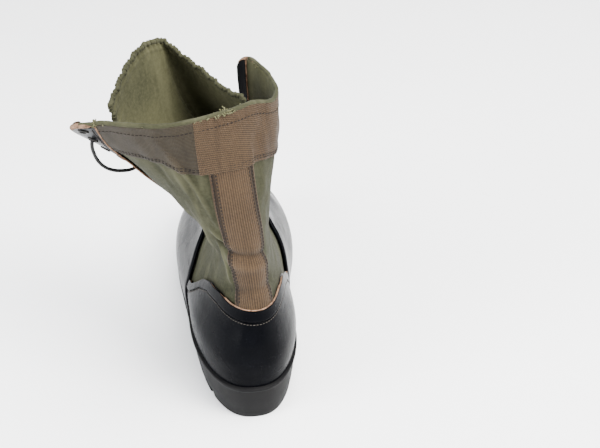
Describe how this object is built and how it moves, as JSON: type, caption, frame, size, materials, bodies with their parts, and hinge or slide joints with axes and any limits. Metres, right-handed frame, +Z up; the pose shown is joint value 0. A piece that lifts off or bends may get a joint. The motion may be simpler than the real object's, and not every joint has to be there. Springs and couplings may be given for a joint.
{
  "type": "jungle boot",
  "caption": "Left canvas and leather jungle boot with a lugged rubber sole, its tall shaft unlaced and splayed open to one side, standing empty",
  "frame": {"origin": "middle of the heel's flat spot on the floor", "axes": "+Z up, +Y from heel to toe, +X to the medial side of this left boot"},
  "size_m": [0.1789, 0.3048, 0.2928],
  "materials": {
    "canvas": "faded olive drab cotton canvas",
    "rubber": "matte black moulded rubber",
    "board": "plain insole board",
    "leather": "polished black leather",
    "webbing": "brown nylon webbing",
    "lace": "black woven cord",
    "eyelet": "black enamelled metal"
  },
  "bodies": {
    "root": {"upper": "canvas", "tongue": "canvas", "outsole": "rubber", "insole": "board", "vamp": "leather", "counter": "leather", "counter_strip": "leather", "eyestay_lateral": "leather", "eyestay_medial": "leather", "backstay": "webbing", "collar_band": "webbing", "lace_crossings": "lace", "lace_loop": "lace", "eyelet_lateral_1": "eyelet", "eyelet_lateral_2": "eyelet", "eyelet_lateral_3": "eyelet", "eyelet_lateral_4": "eyelet", "eyelet_lateral_5": "eyelet", "eyelet_lateral_6": "eyelet", "eyelet_lateral_7": "eyelet", "eyelet_lateral_8": "eyelet", "eyelet_lateral_9": "eyelet", "eyelet_lateral_10": "eyelet", "eyelet_medial_1": "eyelet", "eyelet_medial_2": "eyelet", "eyelet_medial_3": "eyelet", "eyelet_medial_4": "eyelet", "eyelet_medial_5": "eyelet", "eyelet_medial_6": "eyelet", "eyelet_medial_7": "eyelet", "eyelet_medial_8": "eyelet", "eyelet_medial_9": "eyelet", "eyelet_medial_10": "eyelet"}
  },
  "joints": []
}
